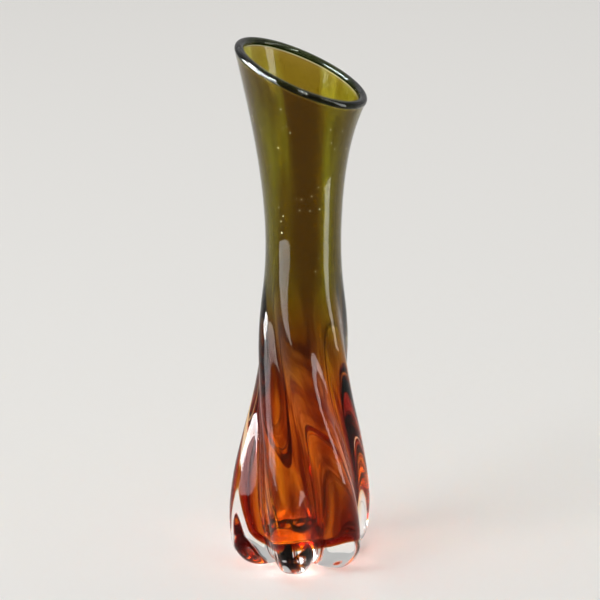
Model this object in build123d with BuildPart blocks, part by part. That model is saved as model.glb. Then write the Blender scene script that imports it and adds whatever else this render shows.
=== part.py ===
from build123d import *
import math
import os

# Driving dimensions in millimetres and degrees. The vase stands on z = 0 and its front faces -Y.
mouth_height = 300.3        # height of the middle of the slanted mouth
waist_height = 198.0        # narrowest place, where the twisted lobes have died out
belly_height = 40.0         # height where the axis starts to drift aside

belly_radius = 45.3         # crest of the lobes at the widest place
waist_radius = 22.6         # outside of the neck at the waist
mouth_radius = 38.3         # outside of the mouth, seen from straight above
flare_growth = 2.03         # power that the neck opens out by
axis_bow = 2.0              # how far the hand-drawn neck stands aside of the foot

mouth_slope = 0.437         # fall of the mouth for each unit across it
mouth_bearing = -17.6       # direction that the mouth falls in, from +X
lean_growth = 1.37          # power that the levels of the neck lean by

lobe_count = 6
lobe_depth_share = 0.705    # deepest groove between two toes, as a share of belly_rise
lobe_turn = 98.0            # how far each lobe winds on its way up to the waist
crest_power = 2.6           # over 2, crests are broad and grooves are narrow

skin_thickness = 1.6        # clear glass over the green neck
wall_thickness = 2.7        # green glass of the neck
well_thickness = 3.3        # amber glass of the well
core_share = 0.485          # swelling of the coloured glasses under the waist, as a share of belly_rise
core_corner_radius = 7.0
floor_height = 15.0         # underside of the amber well
well_floor_thickness = 5.0  # amber glass under the hollow

scarf_low_share = 0.510     # where the green glass starts, over the amber glass, of waist_height
scarf_high_share = 0.908    # where the amber glass ends, under the green glass, of waist_height
scarf_edge_thickness = 0.5  # both glasses thin out to this

recess_share = 0.508        # radius of the polished hollow under the foot, as a share of belly_radius
recess_depth = 6.0

lip_radius = 2.6            # half the thickness of the lip's roll
overrun = 4.0               # how far a cutting body runs past what it cuts

# Levels of the lobed casing, from the toes to the waist: height as a share of waist_height, crest as a
# share of belly_rise, depth of the grooves as a share of lobe_depth and turn as a share of lobe_turn
lobed_level_shares = [
    (0.000, 0.335, 1.00, 0.080),
    (0.008, 0.520, 1.00, 0.080),
    (0.023, 0.714, 0.99, 0.080),
    (0.048, 0.863, 0.92, 0.082),
    (0.087, 0.969, 0.84, 0.090),
    (0.148, 1.000, 0.78, 0.120),
    (0.224, 0.934, 0.65, 0.155),
    (0.316, 0.784, 0.56, 0.220),
    (0.418, 0.573, 0.46, 0.320),
    (0.520, 0.396, 0.36, 0.480),
    (0.622, 0.304, 0.31, 0.610),
    (0.724, 0.238, 0.24, 0.725),
    (0.816, 0.141, 0.15, 0.820),
    (0.908, 0.035, 0.03, 0.915),
    (1.000, 0.000, 0.00, 1.000),
]

# Levels of the coloured core up to the waist: height as a share of the way from its floor to the waist,
# and radius as a share of the way from its radius at the waist to its widest
core_level_shares = [
    (0.00, 0.62),
    (0.05, 0.87),
    (0.11, 1.00),
    (0.18, 0.97),
    (0.26, 0.80),
    (0.35, 0.54),
    (0.46, 0.31),
    (0.58, 0.18),
    (0.70, 0.10),
    (0.84, 0.03),
    (1.00, 0.00),
]

lobe_samples = 12           # points of a level's outline for each lobe
first_halved_level = 3      # from here up there is one more level between each two
corner_level_count = 4
neck_level_count = 8
belly_rise = belly_radius - waist_radius    # how far the crests stand out past the waist
lobe_depth = belly_rise * lobe_depth_share
waist_core_radius = waist_radius - skin_thickness
core_radius = waist_core_radius + belly_rise * core_share
recess_radius = belly_radius * recess_share
hollow_floor_height = floor_height + well_floor_thickness
hollow_corner_radius = core_corner_radius - well_thickness
scarf_low_height = waist_height * scarf_low_share
scarf_high_height = waist_height * scarf_high_share
scarf_low_core_share = (scarf_low_height - floor_height) / (waist_height - floor_height)


def smooth_share(share):
    """Eases a share in and out between nothing and all."""
    share = min(max(share, 0), 1)
    return share * share * (3 - 2 * share)


def neck_share(height):
    """How far up the neck a height is, from the waist to the mouth."""
    return max((height - waist_height) / (mouth_height - waist_height), 0)


def axis_shift(height):
    """How far aside the middle of a level stands."""
    rise = smooth_share((height - belly_height) * 2 / (waist_height - belly_height))
    return axis_bow * (rise - smooth_share(neck_share(height)))


def lean_angle(height):
    """How far a level leans, in radians. The mouth leans most."""
    return math.atan(mouth_slope * neck_share(height) ** lean_growth)


def level_plane(height):
    """Plane of a level, with its local X axis downhill."""
    lean, bearing = lean_angle(height), math.radians(mouth_bearing)
    across = (math.cos(bearing), math.sin(bearing))
    return Plane(
        origin=(axis_shift(height), 0, height),
        x_dir=(across[0] * math.cos(lean), across[1] * math.cos(lean), -math.sin(lean)),
        z_dir=(across[0] * math.sin(lean), across[1] * math.sin(lean), math.cos(lean)),
    )


def neck_radius(height):
    """Outside of the neck, seen from straight above."""
    flare = neck_share(height) ** flare_growth
    return waist_radius + (mouth_radius - waist_radius) * flare


def neck_heights():
    """Levels above the waist."""
    rise = (mouth_height - waist_height) / neck_level_count
    return [waist_height + rise * (level + 1) for level in range(neck_level_count)]


def lobed_section(height, crest, depth, turn):
    """One level of the casing: a closed curve that dips into a groove between each two lobes."""
    count = lobe_count * lobe_samples
    stretch = 1 / math.cos(lean_angle(height))
    points = []
    for sample in range(count):
        angle = 2 * math.pi * sample / count
        bearing = angle + math.radians(90 + turn + mouth_bearing)
        radius = crest - depth * abs(math.sin(bearing * lobe_count / 2)) ** crest_power
        points.append((radius * math.cos(angle) * stretch, radius * math.sin(angle)))
    knots = [sample / count for sample in range(count + 1)]
    with BuildSketch(level_plane(height)) as section:
        with BuildLine():
            add(Edge.make_spline(points, periodic=True, parameters=knots))
        make_face()
    return section.sketch


def between_levels(column, position):
    """Smooth value of one column of the lobed levels, between or on its rows."""
    last = len(lobed_level_shares) - 1
    row = min(int(position), last - 1)
    near = [lobed_level_shares[min(max(row + step, 0), last)][column] for step in (-1, 0, 1, 2)]
    part = position - row
    bend = 2 * near[0] - 5 * near[1] + 4 * near[2] - near[3]
    twist = 3 * (near[1] - near[2]) + near[3] - near[0]
    return near[1] + ((near[2] - near[0]) * part + bend * part**2 + twist * part**3) / 2


def round_section(height, radius, rise=0):
    """One level of a layer, round when it is seen from straight above."""
    with BuildSketch(level_plane(height).offset(rise)) as section:
        Ellipse(radius / math.cos(lean_angle(height)), radius)
    return section.sketch


def casing_sections():
    """All levels of the outside, from the toes to the mouth."""
    halvings = 2 * (len(lobed_level_shares) - 1 - first_halved_level)
    positions = list(range(first_halved_level))
    positions += [first_halved_level + step / 2 for step in range(halvings + 1)]
    sections = []
    for position in positions:
        height, crest, depth, turn = (between_levels(column, position) for column in range(4))
        sections.append(
            lobed_section(
                height * waist_height,
                waist_radius + crest * belly_rise,
                max(depth, 0) * lobe_depth,
                turn * lobe_turn,
            )
        )
    sections += [lobed_section(height, neck_radius(height), 0, lobe_turn) for height in neck_heights()]
    return sections


def core_outside(share):
    """Outside of the coloured core a share of the way up to the waist, straight between its levels."""
    for (low, near), (high, far) in zip(core_level_shares, core_level_shares[1:]):
        if share <= high:
            swelling = near + (far - near) * (share - low) / (high - low)
            return waist_core_radius + (core_radius - waist_core_radius) * swelling
    return waist_core_radius


def core_sections(inset, inset_low, bottom, corner, rise=0):
    """Levels of the core over a rounded floor, set in by a wall from inset at the waist to inset_low."""
    levels = []
    for step in range(corner_level_count):
        turn = math.pi / 2 * step / corner_level_count
        share = corner * (1 - math.cos(turn)) / (waist_height - bottom)
        levels.append((share, corner * (1 - math.sin(turn))))
    levels += [(share, 0) for share, _ in core_level_shares[1:]]
    sections = []
    for share, rounding in levels:
        wall = inset + (inset_low - inset) * (1 - share)
        height = bottom + share * (waist_height - bottom)
        sections.append(round_section(height, core_outside(share) - wall - rounding))
    for height in neck_heights():
        sections.append(round_section(height, neck_radius(height) - skin_thickness - inset))
    if rise:
        sections.append(round_section(mouth_height, mouth_radius - skin_thickness - inset, rise))
    return sections


# Outer form of the two coloured glasses together
with BuildPart() as coloured_core:
    loft(core_sections(0, 0, floor_height, core_corner_radius))

# Inside of the vase, open at the mouth
with BuildPart() as hollow:
    loft(core_sections(wall_thickness, well_thickness, hollow_floor_height, hollow_corner_radius, overrun))

# Space of the amber glass: everything under a slanted seam that runs up through the wall
with BuildPart() as under_seam:
    with BuildSketch(Plane.XZ):
        with BuildLine():
            Polyline(
                (0, 0),
                (belly_radius, 0),
                (belly_radius, scarf_low_height),
                (core_outside(scarf_low_core_share) - scarf_edge_thickness, scarf_low_height),
                (waist_core_radius - wall_thickness + scarf_edge_thickness, scarf_high_height),
                (0, scarf_high_height),
                close=True,
            )
        make_face()
    revolve(axis=Axis.Z)

foot_sphere_radius = (recess_radius**2 + recess_depth**2) / (2 * recess_depth)

with BuildPart() as clear_casing:
    loft(casing_sections())
    with Locations((0, 0, recess_depth - foot_sphere_radius)):
        Sphere(foot_sphere_radius, mode=Mode.SUBTRACT)
    add(coloured_core.part, mode=Mode.SUBTRACT)
clear_casing.part.label = "clear_casing"

with BuildPart() as amber_well:
    add(coloured_core.part)
    add(hollow.part, mode=Mode.SUBTRACT)
    with Locations((axis_bow, 0, 0)):
        add(under_seam.part, mode=Mode.INTERSECT)
amber_well.part.label = "amber_well"

with BuildPart() as green_neck:
    add(coloured_core.part)
    add(hollow.part, mode=Mode.SUBTRACT)
    with Locations((axis_bow, 0, 0)):
        add(under_seam.part, mode=Mode.SUBTRACT)
green_neck.part.label = "green_neck"

# The lip's roll sits on the cut edge of the wall, as wide there as the wall is thick
rim_thickness = skin_thickness + wall_thickness
rim_mid_radius = mouth_radius - rim_thickness / 2
lip_rise = math.sqrt(lip_radius**2 - (rim_thickness / 2) ** 2)
mouth_plane = level_plane(mouth_height)
mouth_stretch = 1 / math.cos(lean_angle(mouth_height))

with BuildPart() as lip_roll:
    with BuildLine(mouth_plane.offset(lip_rise)) as rim_path:
        EllipticalCenterArc((0, 0), rim_mid_radius * mouth_stretch, rim_mid_radius, arc_size=360)
    with BuildSketch(rim_path.line ^ 0):
        Circle(lip_radius)
    sweep()
    split(bisect_by=mouth_plane, keep=Keep.TOP)
lip_roll.part.label = "lip_roll"

os.makedirs("parts", exist_ok=True)
export_step(clear_casing.part, "parts/clear_casing.step")
export_step(amber_well.part, "parts/amber_well.step")
export_step(green_neck.part, "parts/green_neck.step")
export_step(lip_roll.part, "parts/lip_roll.step")
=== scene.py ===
"""Art glass vase with a slanted mouth, twisted lobes and six toes, dressed for a photograph.

The glass is made in layers, as a glass worker gathers them: an amber well, a green neck and a dark roll
round the lip, all cased in clear glass. Glass bends light only where it meets air, so the casing has all
the bending surfaces, with a hair of clear glass as the lining of the hollow. The coloured layers lie in
it and only take their share out of the light. Small bubbles of air lie in the casing of the neck.

Lengths are in metres.
"""

import logging
import math
import random
from abc import ABC, abstractmethod
from dataclasses import dataclass
from enum import Enum
from typing import Any, Callable

import bmesh
import bpy
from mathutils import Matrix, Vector

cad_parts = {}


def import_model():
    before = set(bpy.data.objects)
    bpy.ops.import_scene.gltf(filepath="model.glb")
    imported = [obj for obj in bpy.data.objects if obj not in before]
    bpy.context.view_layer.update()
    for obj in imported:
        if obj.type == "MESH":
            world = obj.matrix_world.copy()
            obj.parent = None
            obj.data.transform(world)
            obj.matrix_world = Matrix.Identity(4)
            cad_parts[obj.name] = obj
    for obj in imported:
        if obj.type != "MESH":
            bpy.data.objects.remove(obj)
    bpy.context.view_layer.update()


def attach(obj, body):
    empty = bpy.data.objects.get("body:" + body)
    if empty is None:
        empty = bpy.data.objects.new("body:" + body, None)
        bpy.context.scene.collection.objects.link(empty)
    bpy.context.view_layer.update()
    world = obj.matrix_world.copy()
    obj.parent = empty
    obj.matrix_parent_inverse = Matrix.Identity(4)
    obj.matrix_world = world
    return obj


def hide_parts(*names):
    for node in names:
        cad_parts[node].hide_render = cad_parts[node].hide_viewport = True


LOG = logging.getLogger("vase")
MM = 0.001
WHITE = (1.0, 1.0, 1.0, 1.0)
GLASS_BOUNCES = 36

Triple = tuple[float, float, float]
Pair = tuple[float, float]


class Value:
    """A socket of a shader tree that Python's operators work on."""

    def __init__(self, tree: "ShaderTree", socket: bpy.types.NodeSocket) -> None:
        """Keeps the tree and its socket.

        Args:
            tree: the tree that new nodes are added to.
            socket: the output that holds the value.
        """
        self.tree = tree
        self.socket = socket

    def _math(self, operation: str, first: Any, second: Any = None) -> "Value":
        """Adds a Math node for one operation."""
        sockets = {0: first} if second is None else {0: first, 1: second}
        return self.tree.node("ShaderNodeMath", {"operation": operation}, sockets)

    def __add__(self, other: Any) -> "Value":
        """Sum."""
        return self._math("ADD", self, other)

    __radd__ = __add__

    def __sub__(self, other: Any) -> "Value":
        """Difference."""
        return self._math("SUBTRACT", self, other)

    def __rsub__(self, other: Any) -> "Value":
        """Difference from a number."""
        return self._math("SUBTRACT", other, self)

    def __mul__(self, other: Any) -> "Value":
        """Product."""
        return self._math("MULTIPLY", self, other)

    __rmul__ = __mul__

    def __abs__(self) -> "Value":
        """Size without its sign."""
        return self._math("ABSOLUTE", self)


class ShaderTree:
    """A material's nodes, with one method that adds any of them."""

    def __init__(self, name: str) -> None:
        """Makes an empty node material.

        Args:
            name: the material's name.
        """
        self.material = bpy.data.materials.new(name)
        self.material.use_nodes = True
        self.tree = self.material.node_tree
        self.tree.nodes.clear()

    def add(self, kind: str, settings: dict[str, Any], sockets: dict[Any, Any]) -> bpy.types.Node:
        """Adds a node.

        Args:
            kind: the node's type.
            settings: its own properties, which are set first.
            sockets: its inputs by name or number, each a plain value or a Value to link.

        Returns:
            The node.
        """
        made = self.tree.nodes.new(kind)
        for key, value in settings.items():
            setattr(made, key, value)
        for key, value in sockets.items():
            if isinstance(value, Value):
                self.tree.links.new(value.socket, made.inputs[key])
            else:
                made.inputs[key].default_value = value
        return made

    def node(
        self,
        kind: str,
        settings: dict[str, Any] | None = None,
        sockets: dict[Any, Any] | None = None,
        output: str | int = 0,
    ) -> Value:
        """Adds a node and hands on one of its outputs.

        Args:
            kind: the node's type.
            settings: its own properties, which are set first.
            sockets: its inputs by name or number, each a plain value or a Value to link.
            output: the output that is wanted, by name or number.

        Returns:
            The wanted output.
        """
        return Value(self, self.add(kind, settings or {}, sockets or {}).outputs[output])

    def place(self) -> Value:
        """Object coordinates of the point that is shaded."""
        return self.node("ShaderNodeTexCoord", output="Object")

    def height(self) -> Value:
        """Height of the point that is shaded."""
        return self.node("ShaderNodeSeparateXYZ", sockets={"Vector": self.place()}, output="Z")

    def across(self) -> Value:
        """How far to the right the point that is shaded lies."""
        return self.node("ShaderNodeSeparateXYZ", sockets={"Vector": self.place()}, output="X")

    def radius(self) -> Value:
        """Distance of the point that is shaded from the upright axis.

        Returns:
            The distance.
        """
        sockets = {0: self.place(), 1: (1, 1, 0)}
        level = self.node("ShaderNodeVectorMath", {"operation": "MULTIPLY"}, sockets)
        return self.node("ShaderNodeVectorMath", {"operation": "LENGTH"}, {0: level}, "Value")

    def share_between(self, value: Value, low: float, high: float) -> Value:
        """How far a value lies on its way from one number to another.

        Args:
            value: the value.
            low: the number that gives 0.
            high: the number that gives 1. It may be the smaller of the two.

        Returns:
            The share, eased at both ends.
        """
        settings = {"interpolation_type": "SMOOTHSTEP"}
        sockets = {"Value": value, "From Min": low, "From Max": high}
        return self.node("ShaderNodeMapRange", settings, sockets)

    def mix(self, share: Value, first: tuple | Value, second: tuple | Value) -> Value:
        """Mix of two colours, whose sockets are told from the node's others by their numbers.

        Args:
            share: how much of the second colour there is.
            first: the first colour.
            second: the second colour.

        Returns:
            The mixed colour.
        """
        factor, colour_a, colour_b, result = 0, 6, 7, 2
        settings = {"data_type": "RGBA", "clamp_factor": True}
        sockets = {factor: share, colour_a: first, colour_b: second}
        return self.node("ShaderNodeMix", settings, sockets, result)

    def bump(self, height: Value, distance: float) -> Value:
        """Normal that a height of nothing to one, over a distance, gives."""
        return self.node("ShaderNodeBump", {}, {"Strength": 1.0, "Distance": distance, "Height": height})

    def finish(self, surface: Value, volume: Value | None = None) -> bpy.types.Material:
        """Links the material's output.

        Args:
            surface: the surface's shader.
            volume: the shader of what is inside, if any.

        Returns:
            The material.
        """
        sockets = {"Surface": surface}
        if volume is not None:
            sockets["Volume"] = volume
        self.add("ShaderNodeOutputMaterial", {}, sockets)
        return self.material


class GlassTree(ShaderTree):
    """Nodes of a glass, whose streaks and waves wind up the vase with the lobes."""

    WIND_START = 0.04
    WIND_END = 0.21
    WIND_TURN = math.radians(98.0)
    NOISE_ROUGHNESS = 0.5
    NOISE_MIDDLE = 0.5

    def unwound(self) -> Value:
        """Object coordinates with the winding of the lobes taken out.

        Returns:
            The coordinates.
        """
        turn = self.share_between(self.height(), self.WIND_START, self.WIND_END) * self.WIND_TURN
        settings = {"rotation_type": "Z_AXIS"}
        return self.node("ShaderNodeVectorRotate", settings, {"Vector": self.place(), "Angle": turn})

    def noise(self, scale: float, detail: float, upright: float) -> Value:
        """Soft noise from 0 to 1.

        Args:
            scale: how fine it is across the glass.
            detail: how many finer layers it has.
            upright: its fineness up the glass, as a share of that across. A small share draws it out.

        Returns:
            The noise.
        """
        stretch = {"Vector": self.unwound(), "Scale": (1.0, 1.0, upright)}
        sockets = {"Vector": self.node("ShaderNodeMapping", {}, stretch)}
        sockets |= {"Scale": scale, "Detail": detail, "Roughness": self.NOISE_ROUGHNESS}
        return self.node("ShaderNodeTexNoise", {"noise_dimensions": "3D"}, sockets, "Fac")

    def glass(
        self, surface: dict[str, Any], bend: float, clear_share: Triple, depth: float
    ) -> bpy.types.Material:
        """Finishes the material as a body of glass.

        Args:
            surface: the Principled shader's sockets that are this glass's own.
            bend: how strongly the glass bends light, 1.0 for not at all.
            clear_share: the colour that the glass lets through.
            depth: how much it takes out of the light for each metre.

        Returns:
            The material.
        """
        sockets = {"Roughness": 0.0, "IOR": bend, "Transmission Weight": 1.0} | surface
        shader = self.node("ShaderNodeBsdfPrincipled", {"distribution": "MULTI_GGX"}, sockets)
        inside = self.node(
            "ShaderNodeVolumeAbsorption", {}, {"Color": (*clear_share, 1.0), "Density": depth}
        )
        return self.finish(shader, inside)


@dataclass(frozen=True)
class ColouredGlass:
    """A coloured glass under the casing. Its depth comes from what it takes out of the light on its way.

    Streaks of thicker colour wind through it with the lobes, broad ones with finer ones in them. The
    streak range says where in the noise a streak starts and where it is full. Over the heights of the
    fade range the streaks grow from none to full, so that no edge shows at the blend with the other
    colour. A range under the table leaves them whole. A glass may also have a band of painted shade down
    the middle of its front and back, which sways a little. It stands for the shade that lamps at the
    sides leave in the middle of the neck. With the band, the colour also grows deeper over the heights of
    the mouth range. It doesn't bend light, because glass bends light only where it meets air.
    """

    name: str
    clear_share: Triple
    depth: float
    streak_tint: Triple
    streak_scale: float = 90.0
    streak_upright: float = 0.14
    streak_range: Pair = (0.40, 0.62)
    streak_depth: float = 1.0
    broad_share: float = 0.68
    broad_detail: float = 1.0
    fine_detail: float = 2.0
    fine_scale: float = 3.1
    fine_upright: float = 0.6
    # The band of painted shade: where its middle lies across, its half width, the share of that which is
    # darkest, and its sway.
    shade_band_middle: float = 0.0015
    shade_band_width: float = 0.0
    shade_band_core: float = 0.3
    shade_band_sway: float = 0.022
    mouth_range: Pair = (0.250, 0.305)
    mouth_depth: float = 0.0
    fade_range: Pair = (-1.0, 0.0)

    def streaks(self, tree: GlassTree) -> Value:
        """How deep the colour is, beyond the glass's own, with any band of painted shade added in.

        Args:
            tree: the material's tree.

        Returns:
            The depth, from nothing to one.
        """
        scale, upright = self.streak_scale, self.streak_upright
        broad = tree.noise(scale, self.broad_detail, upright)
        fine = tree.noise(scale * self.fine_scale, self.fine_detail, upright * self.fine_upright)
        noise = broad * self.broad_share + fine * (1.0 - self.broad_share)
        streaks = tree.share_between(noise, *self.streak_range) * self.streak_depth
        # Painted shade: a darker band down the middle of the front and back, standing for the shade that
        # lamps at the sides leave there. The deepening towards the mouth is added along with it.
        if self.shade_band_width > 0.0:
            across = abs(tree.across() - self.shade_band_middle + (broad - tree.NOISE_MIDDLE) * self.shade_band_sway)
            shade_core_width = self.shade_band_width * self.shade_band_core
            streaks = streaks + tree.share_between(across, self.shade_band_width, shade_core_width)
            streaks = streaks + tree.share_between(tree.height(), *self.mouth_range) * self.mouth_depth
        return streaks * tree.share_between(tree.height(), *self.fade_range)

    def material(self) -> bpy.types.Material:
        """Makes the material.

        Returns:
            The finished material.
        """
        tree = GlassTree(self.name)
        tint = tree.mix(self.streaks(tree), WHITE, (*self.streak_tint, 1.0))
        return tree.glass({"Base Color": tint}, 1.0, self.clear_share, self.depth)


@dataclass(frozen=True)
class CasingGlass:
    """The clear glass, with the faint colour that it takes on where it lies close over the core.

    The tint starts above the toes, changes on its way up to the neck, and ends where the lobes stand far
    out. The surface has shallow waves and a polish that changes a little from place to place.
    """

    name: str
    clear_share: Triple
    depth: float
    foot_tint: Triple
    neck_tint: Triple
    gleam: float
    tint_start: Pair = (0.012, 0.030)
    tint_change: Pair = (0.085, 0.185)
    tint_reach: Pair = (0.034, 0.039)
    wave_scale: float = 28.0
    wave_detail: float = 2.0
    wave_upright: float = 0.45
    wave_height: float = 0.6 * MM
    polish_scale: float = 35.0
    polish_detail: float = 4.0
    polish_upright: float = 0.3
    roughness: float = 0.012
    bend: float = 1.5

    def tint(self, tree: GlassTree) -> Value:
        """The faint colour over the core.

        Args:
            tree: the material's tree.

        Returns:
            The colour, white where there is none.
        """
        change = tree.share_between(tree.height(), *self.tint_change)
        tint = tree.mix(change, (*self.foot_tint, 1.0), (*self.neck_tint, 1.0))
        tint = tree.mix(tree.share_between(tree.height(), *self.tint_start), WHITE, tint)
        return tree.mix(tree.share_between(tree.radius(), *self.tint_reach), tint, WHITE)

    def material(self) -> bpy.types.Material:
        """Makes the material.

        Returns:
            The finished material.
        """
        tree = GlassTree(self.name)
        tint = self.tint(tree)
        polish = tree.noise(self.polish_scale, self.polish_detail, self.polish_upright)
        waves = tree.noise(self.wave_scale, self.wave_detail, self.wave_upright)
        surface = {
            "Base Color": tint,
            "Roughness": self.roughness * polish,
            "Specular Tint": (self.gleam, self.gleam, self.gleam, 1.0),
            "Normal": tree.bump(waves, self.wave_height),
        }
        return tree.glass(surface, self.bend, self.clear_share, self.depth)


CLEAR_GLASS = CasingGlass(
    "clear_glass",
    clear_share=(0.96, 0.985, 0.96),
    depth=1.6,
    foot_tint=(0.97, 0.72, 0.36),
    neck_tint=(0.86, 0.86, 0.45),
    gleam=0.2,
)
AMBER_GLASS = ColouredGlass(
    "amber_glass",
    clear_share=(0.928, 0.710, 0.08),
    depth=800.0,
    streak_tint=(0.45, 0.22, 0.14),
    streak_range=(0.43, 0.60),
    fade_range=(0.168, 0.118),
)
GREEN_GLASS = ColouredGlass(
    "green_glass",
    clear_share=(0.79, 0.78, 0.03),
    depth=1000.0,
    streak_tint=(0.54, 0.36, 0.21),
    streak_scale=55.0,
    streak_upright=0.06,
    streak_depth=0.55,
    # Band of painted shade down the middle of the neck's front and back.
    shade_band_width=0.015,
    mouth_depth=0.30,
    fade_range=(0.104, 0.150),
)
DARK_GREEN_GLASS = ColouredGlass(
    "dark_green_glass",
    clear_share=(0.24, 0.32, 0.06),
    depth=1000.0,
    streak_tint=(0.7, 0.7, 0.6),
)


@dataclass(frozen=True)
class Ring:
    """One level of a wall of glass, as a glass worker would swell, turn and lean it.

    Its crest is its radius on the lobes, and its depth that of the grooves between them. It is wound by
    its turn in degrees, leans in radians, stands aside by its shift and lifts along its lean by its rise.
    The grooves stand above the crests by its arch, and a higher power makes blunter crests.
    """

    height: float
    crest: float
    depth: float = 0.0
    turn: float = 0.0
    lean: float = 0.0
    shift: float = 0.0
    rise: float = 0.0
    arch: float = 0.0
    power: float = 2.6


@dataclass(frozen=True)
class VaseForm:
    """Driving sizes of the vase, angles in degrees, and the forms that follow from them.

    The lobed levels run from the table to the waist. Each gives its share of the waist's height, then
    shares of the belly's radius for the crest, of the lobes' depth for the groove, and of their turn. The
    core levels run from the floor of the well to the waist. Each gives its share of the way, and how far
    the coloured glass swells there from its radius at the waist to its widest.
    """

    mouth_height: float = 300.3 * MM
    waist_height: float = 198.0 * MM
    belly_height: float = 40.0 * MM
    belly_radius: float = 45.3 * MM
    waist_radius: float = 22.6 * MM
    mouth_radius: float = 38.3 * MM
    flare_growth: float = 2.03
    axis_bow: float = 2.0 * MM
    mouth_slope: float = 0.437
    mouth_bearing: float = -17.6
    lean_growth: float = 1.37
    lobe_count: int = 6
    lobe_depth: float = 16.0 * MM
    lobe_turn: float = 98.0
    skin_thickness: float = 1.6 * MM
    wall_thickness: float = 2.7 * MM
    well_thickness: float = 3.3 * MM
    core_radius: float = 32.7 * MM
    core_corner_radius: float = 7.0 * MM
    floor_height: float = 15.0 * MM
    well_floor_thickness: float = 5.0 * MM
    scarf_low_height: float = 101.0 * MM
    scarf_high_height: float = 179.8 * MM
    seam_edge: float = 8.0 * MM
    recess_radius: float = 23.0 * MM
    recess_depth: float = 6.0 * MM
    lip_radius: float = 2.6 * MM
    lobed_level_shares: tuple[tuple[float, float, float, float], ...] = (
        (0.000, 0.667, 1.00, 0.080),
        (0.008, 0.759, 1.00, 0.080),
        (0.023, 0.857, 0.99, 0.080),
        (0.048, 0.932, 0.92, 0.082),
        (0.087, 0.985, 0.84, 0.090),
        (0.148, 1.000, 0.78, 0.120),
        (0.224, 0.967, 0.65, 0.155),
        (0.316, 0.892, 0.56, 0.220),
        (0.418, 0.786, 0.46, 0.320),
        (0.520, 0.698, 0.36, 0.480),
        (0.622, 0.651, 0.31, 0.610),
        (0.724, 0.618, 0.24, 0.725),
        (0.816, 0.570, 0.15, 0.820),
        (0.908, 0.517, 0.03, 0.915),
        (1.000, 0.499, 0.00, 1.000),
    )
    core_level_shares: tuple[tuple[float, float], ...] = (
        (0.00, 0.62),
        (0.05, 0.87),
        (0.11, 1.00),
        (0.18, 0.97),
        (0.26, 0.80),
        (0.35, 0.54),
        (0.46, 0.31),
        (0.58, 0.18),
        (0.70, 0.10),
        (0.84, 0.03),
        (1.00, 0.00),
    )

    @property
    def waist_core_radius(self) -> float:
        """Outside of the coloured glass at the waist."""
        return self.waist_radius - self.skin_thickness

    @property
    def rim_thickness(self) -> float:
        """Thickness of the wall where the lip's roll sits on it."""
        return self.skin_thickness + self.wall_thickness

    @property
    def inner_corner(self) -> float:
        """Radius of the corner between the hollow's wall and its floor."""
        return self.core_corner_radius - self.well_thickness

    @property
    def inner_floor(self) -> float:
        """Height of the hollow's floor."""
        return self.floor_height + self.well_floor_thickness

    @property
    def seam_top(self) -> float:
        """Height of the amber's upper edge, a little below the seam's, where it is as thin as a hair."""
        return self.scarf_high_height - self.seam_edge

    @property
    def bow_height(self) -> float:
        """Height from which on, up to the waist, the axis stands furthest aside."""
        return (self.belly_height + self.waist_height) / 2

    def neck_share(self, height: float) -> float:
        """How far up the neck a height is, from the waist to the mouth."""
        return max((height - self.waist_height) / (self.mouth_height - self.waist_height), 0.0)

    def shift(self, height: float) -> float:
        """How far aside the middle of a level stands."""
        rise = eased((height - self.belly_height) / (self.bow_height - self.belly_height))
        return self.axis_bow * (rise - eased(self.neck_share(height)))

    def lean(self, height: float) -> float:
        """How far a level leans, in radians."""
        return math.atan(self.mouth_slope * self.neck_share(height) ** self.lean_growth)

    def neck_radius(self, height: float) -> float:
        """Outside of the neck, seen from straight above."""
        flare = self.neck_share(height) ** self.flare_growth
        return self.waist_radius + (self.mouth_radius - self.waist_radius) * flare

    def level(self, height: float, crest: float, depth: float = 0.0, rise: float = 0.0) -> Ring:
        """A ring at a height, leaned, shifted and turned as the vase is there."""
        turn, lean, shift = self.turn(height), self.lean(height), self.shift(height)
        return Ring(height, crest, depth, turn, lean, shift, rise)

    def lobed(self, column: int, height: float) -> float:
        """Smooth value of one column of the lobed levels.

        Args:
            column: the column.
            height: the height at which the value is wanted.

        Returns:
            The value, which stays the same above the waist.
        """
        share = min(height / self.waist_height, 1.0)
        places = [row[0] for row in self.lobed_level_shares]
        return smooth_table(places, [row[column] for row in self.lobed_level_shares], share)

    def crest(self, height: float) -> float:
        """Outside of the casing on a crest.

        Args:
            height: the height at which it is wanted.

        Returns:
            The radius.
        """
        if height >= self.waist_height:
            return self.neck_radius(height)
        return self.lobed(1, height) * self.belly_radius

    def groove(self, height: float) -> float:
        """Depth of the grooves between the lobes."""
        return max(self.lobed(2, height), 0.0) * self.lobe_depth

    def turn(self, height: float) -> float:
        """How far the lobes have wound up to a height, in degrees."""
        return self.lobed(3, height) * self.lobe_turn

    def core(self, height: float) -> float:
        """Outside of the coloured glass.

        Args:
            height: the height at which it is wanted.

        Returns:
            The radius.
        """
        if height >= self.waist_height:
            return self.neck_radius(height) - self.skin_thickness
        share = max(height - self.floor_height, 0.0) / (self.waist_height - self.floor_height)
        places = [row[0] for row in self.core_level_shares]
        swelling = smooth_table(places, [row[1] for row in self.core_level_shares], share)
        return self.waist_core_radius + (self.core_radius - self.waist_core_radius) * swelling

    def hollow(self, height: float) -> float:
        """Inside of the coloured glass.

        Args:
            height: the height at which it is wanted.

        Returns:
            The radius.
        """
        share = (self.waist_height - height) / (self.waist_height - self.floor_height)
        extra = (self.well_thickness - self.wall_thickness) * max(share, 0.0)
        return self.core(height) - self.wall_thickness - extra

    def seam(self, height: float) -> float:
        """Slanted seam between amber and green, from the coloured glass's outside in to the hollow.

        Args:
            height: the height at which it is wanted.

        Returns:
            The radius.
        """
        rise = self.scarf_high_height - self.scarf_low_height
        share = min(max((height - self.scarf_low_height) / rise, 0.0), 1.0)
        return self.core(height) + (self.hollow(height) - self.core(height)) * share


def eased(share: float) -> float:
    """A share that runs gently in and out between nothing and all."""
    share = min(max(share, 0.0), 1.0)
    return share * share * (3.0 - 2.0 * share)


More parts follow.
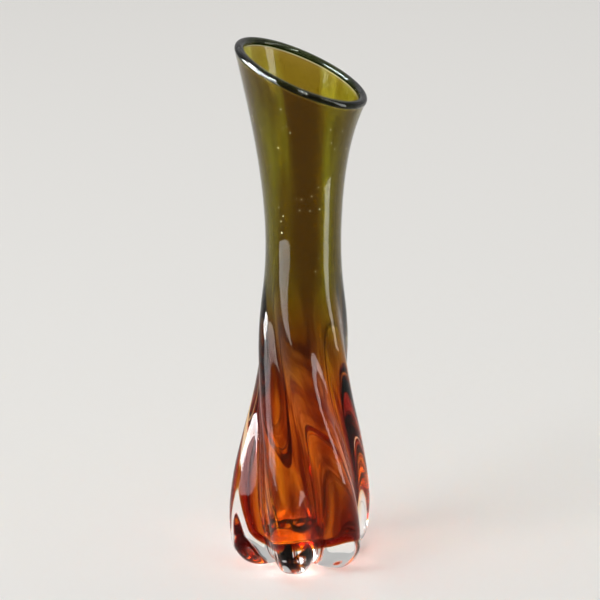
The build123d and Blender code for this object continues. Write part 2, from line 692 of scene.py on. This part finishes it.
def smooth_table(places: list[float], values: list[float], place: float) -> float:
    """Smooth value between the rows of a table.

    Args:
        places: where the rows are, rising.
        values: the value at each row.
        place: where the value is wanted.

    Returns:
        The value on a curve that passes through every row.
    """
    last = len(places) - 1
    row = max(min(sum(1 for p in places if p <= place) - 1, last - 1), 0)
    span = places[row + 1] - places[row]
    part = (min(max(place, places[0]), places[last]) - places[row]) / span

    def slope(at: int) -> float:
        """Slope of the curve at a row."""
        low, high = max(at - 1, 0), min(at + 1, last)
        return (values[high] - values[low]) / (places[high] - places[low])

    start, end = values[row], values[row + 1]
    leave, arrive = slope(row) * span, slope(row + 1) * span
    bend = 3 * (end - start) - 2 * leave - arrive
    return start + leave * part + bend * part**2 + (leave + arrive - 2 * (end - start)) * part**3


class GlassModeller:
    """Models a body of glass by hand: a disc or a hoop is drawn out ring by ring into a closed wall.

    Each lobe has as many points round it as there are phases. A point keeps its phase all the way up: 0 on
    the crest, half the phases in the groove. While the piece is modelled, the vase's mouth falls along +X,
    and at the end the piece is turned so that the vase's front is at -Y.
    """

    PHASES = 8

    def __init__(self, form: VaseForm, name: str, first: Ring, is_hoop: bool = False) -> None:
        """Starts with a flat disc or a bare hoop.

        Args:
            form: the vase's sizes.
            name: the piece's name.
            first: the first ring.
            is_hoop: whether the first ring stays open, to be joined to the last.
        """
        self.form = form
        self.is_hoop = is_hoop
        sides = form.lobe_count * self.PHASES
        bpy.ops.object.select_all(action="DESELECT")
        bpy.ops.mesh.primitive_circle_add(
            vertices=sides,
            radius=first.crest,
            fill_type="NOTHING" if is_hoop else "NGON",
            location=(0.0, 0.0, 0.0),
        )
        self.piece = bpy.context.object
        self.piece.name = self.piece.data.name = name
        self.piece.rotation_euler.z = math.radians(-90.0 - form.mouth_bearing)
        bpy.ops.object.transform_apply(location=False, rotation=True, scale=False)
        bpy.ops.object.mode_set(mode="EDIT")
        bpy.ops.mesh.select_mode(type="VERT")
        mesh = bmesh.from_edit_mesh(self.piece.data)
        phase = mesh.verts.layers.int.new("phase")
        for vert in mesh.verts:
            bearing = math.atan2(vert.co.y, vert.co.x) + math.radians(90.0 + form.mouth_bearing)
            vert[phase] = round(bearing / math.tau * sides) % self.PHASES
            vert.select = True
        mesh.select_flush(True)
        self.ring = Ring(0.0, first.crest)
        self._shape_to(first)

    def _centre(self, ring: Ring) -> Vector:
        """Middle of a ring, while the mouth falls along +X.

        Args:
            ring: the ring.

        Returns:
            The middle.
        """
        bearing = math.radians(self.form.mouth_bearing)
        up = Vector((math.sin(ring.lean), 0.0, math.cos(ring.lean)))
        aside = Vector((ring.shift * math.cos(bearing), -ring.shift * math.sin(bearing), ring.height))
        return aside + up * ring.rise

    def _dip(self, ring: Ring, phase: int) -> float:
        """How far into the groove a phase of a lobe lies, from the crest's nothing to the groove's one."""
        return abs(math.sin(math.pi * phase / self.PHASES)) ** ring.power

    def _pick(self, phases: set[int], ring_verts: set[int]) -> None:
        """Selects the ring's vertices of some phases.

        Args:
            phases: the phases.
            ring_verts: the numbers of the ring's vertices.
        """
        mesh = bmesh.from_edit_mesh(self.piece.data)
        layer = mesh.verts.layers.int["phase"]
        for vert in mesh.verts:
            vert.select = vert.index in ring_verts and vert[layer] in phases
        mesh.select_flush_mode()
        bmesh.update_edit_mesh(self.piece.data)

    def _shape_to(self, ring: Ring) -> None:
        """Moves, swells, turns and leans the selected ring from its present shape to another.

        Args:
            ring: the shape that it gets.
        """
        was, centre = self.ring, self._centre(ring)
        bpy.ops.transform.translate(value=centre - self._centre(was))
        if was.lean:
            self._tilt(-was.lean, centre)
            bpy.ops.transform.resize(value=(math.cos(was.lean), 1.0, 1.0), center_override=centre)
        if was.depth == 0.0 and ring.depth == 0.0:
            swell = ring.crest / was.crest
            bpy.ops.transform.resize(value=(swell, swell, 1.0), center_override=centre)
        else:
            mesh = bmesh.from_edit_mesh(self.piece.data)
            mesh.verts.index_update()
            chosen = {vert.index for vert in mesh.verts if vert.select}
            for phase in range(self.PHASES // 2 + 1):
                self._pick({phase, -phase % self.PHASES}, chosen)
                dip, old_dip = self._dip(ring, phase), self._dip(was, phase)
                swell = (ring.crest - ring.depth * dip) / (was.crest - was.depth * old_dip)
                bpy.ops.transform.resize(value=(swell, swell, 1.0), center_override=centre)
                bpy.ops.transform.translate(value=(0.0, 0.0, ring.arch * dip - was.arch * old_dip))
            self._pick(set(range(self.PHASES)), chosen)
        if ring.turn != was.turn:
            self._spin(math.radians(was.turn - ring.turn), centre)
        if ring.lean:
            bpy.ops.transform.resize(value=(1.0 / math.cos(ring.lean), 1.0, 1.0), center_override=centre)
            self._tilt(ring.lean, centre)
        self.ring = ring

    @staticmethod
    def _tilt(angle: float, centre: Vector) -> None:
        """Leans the selection so that its +X side goes down by an angle."""
        # With no window this operator turns the other way, so the angle changes its sign.
        bpy.ops.transform.rotate(value=-angle, orient_axis="Y", center_override=centre)

    @staticmethod
    def _spin(angle: float, centre: Vector) -> None:
        """Turns the selection about the vertical, anticlockwise seen from above."""
        # Here too the operator turns the other way.
        bpy.ops.transform.rotate(value=-angle, orient_axis="Z", center_override=centre)

    def draw(self, ring: Ring) -> None:
        """Draws the selected ring out into a further one."""
        bpy.ops.mesh.extrude_region_move()
        self._shape_to(ring)

    def close(self) -> bpy.types.Object:
        """Closes the wall and turns the piece's front to -Y.

        Returns:
            The closed piece.
        """
        if self.is_hoop:
            bpy.ops.mesh.select_all(action="DESELECT")
            bpy.ops.mesh.select_non_manifold()
            bpy.ops.mesh.bridge_edge_loops()
        else:
            bpy.ops.mesh.edge_face_add()
        bpy.ops.mesh.select_all(action="SELECT")
        bpy.ops.mesh.normals_make_consistent(inside=False)
        if bmesh.from_edit_mesh(self.piece.data).calc_volume(signed=True) < 0.0:
            bpy.ops.mesh.flip_normals()
        bpy.ops.object.mode_set(mode="OBJECT")
        self.piece.rotation_euler.z = math.radians(self.form.mouth_bearing)
        bpy.ops.object.transform_apply(location=True, rotation=True, scale=True)
        return self.piece


def round_off(piece: bpy.types.Object, levels: int) -> None:
    """Smooths a piece with a subdivision surface.

    Args:
        piece: the piece, which must be the active one.
        levels: how often each face is divided.
    """
    modifier = piece.modifiers.new("rounding", "SUBSURF")
    modifier.levels = modifier.render_levels = levels
    bpy.ops.object.modifier_apply(modifier=modifier.name)
    bpy.ops.object.shade_smooth()


def spaced(low: float, high: float, count: int) -> list[float]:
    """Even steps from low to high, both counted."""
    return [low + (high - low) * step / (count - 1) for step in range(count)]


@dataclass
class GlassLayer(ABC):
    """A layer of glass, drawn out ring by ring.

    Two layers that lie face to face stay a gap apart, as thin as a hair. A hoop's last ring joins its
    first. Any other layer is closed by a small disc at both ends.
    """

    form: VaseForm
    finish: ColouredGlass | CasingGlass
    name: str
    is_hoop: bool = False
    gap: float = 0.2 * MM
    neck_rings: int = 12
    seam_rings: int = 12
    body_rings: int = 20
    corner_rings: int = 4
    floor_shares: Pair = (0.62, 0.25)
    lip_steps: int = 12
    rounding_levels: int = 2

    @abstractmethod
    def rings(self) -> list[Ring]:
        """Rings of the layer, in the order in which they are drawn out."""

    def build(self) -> bpy.types.Object:
        """Draws the layer out ring by ring, rounds it off and dresses it.

        Returns:
            The finished piece.
        """
        rings = self.rings()
        maker = GlassModeller(self.form, self.name, rings[0], self.is_hoop)
        for ring in rings[1:]:
            maker.draw(ring)
        piece = maker.close()
        round_off(piece, self.rounding_levels)
        piece.data.materials.append(self.finish.material())
        return piece

    def lining(self, height: float) -> float:
        """Radius of the inside, under the hair of clear glass."""
        return self.form.hollow(height) + self.gap

    def floor_rings(self, radius: float, height: float, corner: float) -> list[Ring]:
        """Rings that round a wall off into a floor, from the wall inwards.

        Args:
            radius: the wall's radius above the corner.
            height: the floor's height.
            corner: the corner's radius.

        Returns:
            The rings, the last of them small.
        """
        rings = []
        for step in range(1, self.corner_rings + 1):
            angle = math.pi / 2 * step / self.corner_rings
            level = height + corner * (1 - math.sin(angle))
            rings.append(self.form.level(level, radius - corner * (1 - math.cos(angle))))
        for share in self.floor_shares:
            rings.append(self.form.level(height, (radius - corner) * share))
        return rings

    def walls(self, low: float, high: float, count: int, radius: Callable[[float], float]) -> list[Ring]:
        """Rings of a round wall.

        Args:
            low: where it starts.
            high: where it ends.
            count: how many rings it has.
            radius: its radius at each height.

        Returns:
            The rings, from low to high.
        """
        return [self.form.level(height, radius(height)) for height in spaced(low, high, count)]

    def lip_rings(self, inset: float) -> list[Ring]:
        """Rings of the roll round the mouth, from the wall's outside over to its inside.

        Args:
            inset: how far they lie under the roll's skin.

        Returns:
            The rings.
        """
        form = self.form
        middle = form.mouth_radius - form.rim_thickness / 2
        lift = math.sqrt(form.lip_radius**2 - (form.rim_thickness / 2) ** 2)
        start = -math.asin(lift / form.lip_radius)
        rings = []
        for step in range(self.lip_steps + 1):
            angle = start + (math.pi - 2 * start) * step / self.lip_steps
            radius = middle + (form.lip_radius - inset) * math.cos(angle)
            rise = lift + (form.lip_radius - inset) * math.sin(angle)
            rings.append(form.level(form.mouth_height, radius, rise=rise))
        return rings


@dataclass
class ClearCasing(GlassLayer):
    """The clear glass, with its lobes, its toes, its rolled lip and the lining of the hollow.

    The hollow under the foot is a shallow dome, given by its rings' radii in millimetres. The toes' levels
    give, in millimetres, their height, their crest, the groove between two of them and how far the groove
    arches up over the table, and last how blunt the crest is. The wall starts at a share of the waist's
    height. The seeds are bubbles of air, with their radii in millimetres and the shares of the mouth's
    height between which they lie.
    """

    dome_radii: tuple[float, ...] = (3.0, 8.0, 12.5, 16.5)
    toe_levels: tuple[tuple[float, float, float, float, float], ...] = (
        (1.10, 20.8, 3.4, 1.10, 2.6),
        (0.20, 23.4, 5.6, 2.10, 3.2),
        (0.00, 26.2, 8.0, 2.00, 3.8),
        (0.05, 30.2, 11.4, 2.60, 4.0),
        (1.60, 34.6, 14.2, 2.20, 4.0),
        (4.50, 39.1, 15.2, 1.40, 3.8),
        (9.50, 42.7, 14.9, 0.50, 3.3),
        (13.2, 44.0, 14.2, 0.10, 2.9),
    )
    wall_start: float = 0.087
    seed_count: int = 120
    seed_draw: int = 5
    seed_shares: Pair = (0.60, 0.97)
    seed_sizes: Pair = (0.17, 0.34)
    seed_rounding: int = 2

    def rings(self) -> list[Ring]:
        """Rings from the middle of the foot over the toes, the lobes and the lip to the hollow's floor.

        Returns:
            The rings.
        """
        form = self.form
        waist, mouth, floor = form.waist_height, form.mouth_height, form.inner_floor
        corner = floor + form.inner_corner
        heights = spaced(self.wall_start * waist, waist, self.body_rings)
        heights += spaced(waist, mouth, self.neck_rings)[1:-1]
        return [
            *self.foot_rings(),
            *(form.level(height, form.crest(height), form.groove(height)) for height in heights),
            *self.lip_rings(0.0),
            *reversed(self.walls(waist, mouth, self.neck_rings, form.hollow)[:-1]),
            *reversed(self.walls(corner, waist, self.body_rings, form.hollow)[:-1]),
            *self.floor_rings(form.hollow(corner), floor, form.inner_corner),
        ]

    def build(self) -> bpy.types.Object:
        """Models the casing and blows the bubbles into it.

        Returns:
            The finished piece.
        """
        casing = super().build()
        self.blow_seeds(casing)
        return casing

    def blow_seeds(self, casing: bpy.types.Object) -> None:
        """Leaves small bubbles of air in the middle of the neck's skin.

        Args:
            casing: the casing, which the bubbles become hollows of.
        """
        form, chance = self.form, random.Random(self.seed_draw)
        bearing = math.radians(form.mouth_bearing)
        bpy.ops.object.select_all(action="DESELECT")
        for number in range(self.seed_count):
            height = chance.uniform(*self.seed_shares) * form.mouth_height
            around = chance.uniform(-math.pi, math.pi)
            radius = form.neck_radius(height) - form.skin_thickness / 2
            place = (
                form.shift(height) + radius * math.cos(around),
                radius * math.sin(around),
                height - math.tan(form.lean(height)) * radius * math.cos(around - bearing),
            )
            size = chance.uniform(*self.seed_sizes) * MM
            bpy.ops.mesh.primitive_ico_sphere_add(
                subdivisions=self.seed_rounding, radius=size, location=place
            )
            if number == 0:
                bpy.ops.object.mode_set(mode="EDIT")
        bpy.ops.mesh.select_all(action="SELECT")
        bpy.ops.mesh.flip_normals()
        bpy.ops.object.mode_set(mode="OBJECT")
        bpy.ops.object.shade_smooth()
        casing.select_set(True)
        bpy.context.view_layer.objects.active = casing
        bpy.ops.object.join()
        LOG.info("%s holds %d bubbles", self.name, self.seed_count)

    def foot_rings(self) -> list[Ring]:
        """Rings of the polished hollow under the foot and of the toes round it.

        Returns:
            The rings, from the foot's middle out over the toes' pads and up to where the wall starts.
        """
        form = self.form
        dome = (form.recess_radius**2 + form.recess_depth**2) / (2 * form.recess_depth)
        rings = []
        for radius in self.dome_radii:
            height = math.sqrt(dome**2 - (radius * MM) ** 2) - dome + form.recess_depth
            rings.append(Ring(height, radius * MM, turn=form.turn(0.0)))
        for height, crest, groove, arch, power in self.toe_levels:
            turn = form.turn(height * MM)
            rings.append(Ring(height * MM, crest * MM, groove * MM, turn, arch=arch * MM, power=power))
        return rings


@dataclass
class AmberWell(GlassLayer):
    """The cup of amber glass, thinning out upwards on the inside of the wall.

    Along the seam it stands back from the green glass, and its edge keeps a little thickness.
    """

    wall_rings: int = 11
    seam_gap: float = 0.04 * MM
    edge_thickness: float = 0.02 * MM

    def rings(self) -> list[Ring]:
        """Rings from under the floor up the outside, along the seam and down the inside to the floor.

        Returns:
            The rings.
        """
        form = self.form
        low, top, floor = form.scarf_low_height, form.seam_top, form.inner_floor
        wall = form.floor_height + form.core_corner_radius
        corner = floor + form.inner_corner
        return [
            *reversed(self.floor_rings(form.core(wall), form.floor_height, form.core_corner_radius)),
            *self.walls(wall, low, self.wall_rings, form.core),
            *self.walls(low, top, self.seam_rings, self.seam)[1:],
            *reversed(self.walls(corner, top, self.body_rings, self.lining)),
            *self.floor_rings(self.lining(corner), floor - self.gap, form.inner_corner),
        ]

    def seam(self, height: float) -> float:
        """Radius of the slanted seam, on its amber side."""
        return max(self.form.seam(height) - self.seam_gap, self.lining(height) + self.edge_thickness)


@dataclass
class GreenNeck(GlassLayer):
    """The flared neck of green glass, thinning out downwards on the outside of the wall."""

    is_hoop: bool = True
    waist_rings: int = 14
    throat_rings: int = 4
    edge_height: float = 1.5 * MM

    def rings(self) -> list[Ring]:
        """Rings from the thin lower edge up the outside, down the inside and back along the seam.

        Returns:
            The rings.
        """
        form = self.form
        top, waist = form.mouth_height, form.waist_height
        low, seam_top = form.scarf_low_height, form.seam_top
        return [
            *self.walls(low, waist, self.waist_rings, form.core),
            *self.walls(waist, top, self.neck_rings, form.core)[1:],
            *reversed(self.walls(waist, top, self.neck_rings, self.lining)),
            *reversed(self.walls(seam_top, waist, self.throat_rings, self.lining)[:-1]),
            *reversed(self.walls(low + self.edge_height, seam_top, self.seam_rings, form.seam)[:-1]),
        ]


@dataclass
class LipRoll(GlassLayer):
    """The dark roll of glass round the mouth, fire-polished on the cut edge of the wall."""

    is_hoop: bool = True

    def rings(self) -> list[Ring]:
        """Rings over the roll from the outside to the inside, and back under it over the wall's edge.

        Returns:
            The rings.
        """
        form = self.form
        middle, aside = form.mouth_radius - form.rim_thickness / 2, form.rim_thickness / 4
        under = [
            form.level(form.mouth_height, radius, rise=self.gap)
            for radius in (middle - aside, middle + aside)
        ]
        return self.lip_rings(self.gap) + under


class LampUse(Enum):
    """What a lamp is there for."""

    LIGHT = "it lights the floor and the glass"
    GLASS = "it shows on the glass and through it"
    GLEAM = "it shows on the glass only"


@dataclass(frozen=True)
class Lamp:
    """A softbox, with its size as width and height and its power in watts."""

    name: str
    place: Triple
    target: Triple
    size: Pair
    power: float
    use: LampUse = LampUse.LIGHT

    def hang(self) -> None:
        """Hangs the lamp in its place, turned towards its target."""
        data = bpy.data.lights.new(self.name, "AREA")
        data.shape = "RECTANGLE"
        data.size, data.size_y = self.size
        data.energy = self.power
        lamp = bpy.data.objects.new(self.name, data)
        bpy.context.collection.objects.link(lamp)
        lamp.location = self.place
        lamp.visible_camera = False
        lamp.visible_diffuse = self.use is LampUse.LIGHT
        lamp.visible_transmission = self.use is not LampUse.GLEAM
        aim = Vector(self.target) - Vector(self.place)
        lamp.rotation_euler = aim.to_track_quat("-Z", "Y").to_euler()


LAMPS = (
    Lamp("left_softbox", (-0.424, -0.265, 0.475), (0.0, 0.0, 0.475), (0.34, 0.84), 12.3, LampUse.GLASS),
    Lamp("right_softbox", (0.44, -0.13, 0.41), (0.0, 0.0, 0.41), (0.14, 0.76), 4.5, LampUse.GLASS),
    Lamp("upper_left_softbox", (-0.50, -0.30, 0.80), (0.0, 0.0, 0.28), (0.8, 0.3), 140.0, LampUse.GLEAM),
    Lamp("upper_right_softbox", (0.30, -0.45, 0.75), (0.0, 0.0, 0.28), (0.16, 0.3), 10.0, LampUse.GLEAM),
    Lamp("left_high_softbox", (-0.489, -0.104, 0.335), (0.0, 0.0, 0.335), (0.62, 0.15), 22.0, LampUse.GLEAM),
    Lamp("left_rim_softbox", (-0.498, -0.044, 0.225), (0.0, 0.0, 0.225), (0.18, 0.22), 7.0, LampUse.GLEAM),
    Lamp("key_lamp", (-1.6, -1.2, 1.8), (0.0, 0.0, 0.1), (1.2, 1.2), 16.0),
    Lamp("top_lamp", (0.0, 1.0, 3.0), (0.0, 1.0, 0.0), (6.0, 6.0), 66.0),
)


@dataclass
class Stage:
    """Floor, lamps and camera. The camera looks down at the vase's axis by its elevation in degrees."""

    elevation: float = 16.0
    distance: float = 1.5
    aim_height: float = 0.164
    lens: float = 150.5
    sensor_width: float = 36.0
    floor_side: float = 30.0
    floor_colour: Triple = (0.83, 0.82, 0.80)
    floor_roughness: float = 0.6
    sky_colour: Triple = (1.0, 0.99, 0.97)
    sky_strength: float = 0.5

    def build(self) -> None:
        """Sets the stage."""
        self._floor()
        self._world()
        self._camera()
        for lamp in LAMPS:
            lamp.hang()

    def _floor(self) -> None:
        """Lays the pale floor, which is too dull to mirror the lamps."""
        bpy.ops.object.select_all(action="DESELECT")
        bpy.ops.mesh.primitive_plane_add(size=self.floor_side, location=(0.0, 0.0, 0.0))
        floor = bpy.context.object
        floor.name = "floor"
        tree = ShaderTree("pale_floor")
        sockets = {"Base Color": (*self.floor_colour, 1.0), "Roughness": self.floor_roughness}
        sockets["Specular IOR Level"] = 0.0
        floor.data.materials.append(tree.finish(tree.node("ShaderNodeBsdfPrincipled", {}, sockets)))

    def _world(self) -> None:
        """Lights the room with a soft pale sky."""
        world = bpy.data.worlds.new("studio")
        world.use_nodes = True
        bpy.context.scene.world = world
        background = world.node_tree.nodes["Background"]
        background.inputs["Color"].default_value = (*self.sky_colour, 1.0)
        background.inputs["Strength"].default_value = self.sky_strength

    def _camera(self) -> None:
        """Puts the camera at the photograph's angle."""
        data = bpy.data.cameras.new("camera")
        data.lens = self.lens
        data.sensor_width = self.sensor_width
        camera = bpy.data.objects.new("camera", data)
        bpy.context.collection.objects.link(camera)
        lift = math.radians(self.elevation)
        target = Vector((0.0, 0.0, self.aim_height))
        camera.location = target + self.distance * Vector((0.0, -math.cos(lift), math.sin(lift)))
        camera.rotation_euler = (math.pi / 2 - lift, 0.0, 0.0)
        bpy.context.scene.camera = camera


def main() -> None:
    """Builds the vase piece by piece and reports each."""
    logging.basicConfig(level=logging.INFO, format="%(message)s")
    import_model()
    form = VaseForm()
    layers = {
        "clear_casing": ClearCasing(form, CLEAR_GLASS, "casing_of_clear_glass"),
        "amber_well": AmberWell(form, AMBER_GLASS, "well_of_amber_glass"),
        "green_neck": GreenNeck(form, GREEN_GLASS, "neck_of_green_glass"),
        "lip_roll": LipRoll(form, DARK_GREEN_GLASS, "roll_of_dark_glass"),
    }
    for node, layer in layers.items():
        piece = layer.build()
        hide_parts(node)
        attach(piece, "root")
        LOG.info("%s: %d faces", piece.name, len(piece.data.polygons))
    Stage().build()
    scene = bpy.context.scene
    scene.view_settings.view_transform = "Standard"
    scene.cycles.max_bounces = scene.cycles.transmission_bounces = GLASS_BOUNCES


if __name__ == "__main__":
    main()
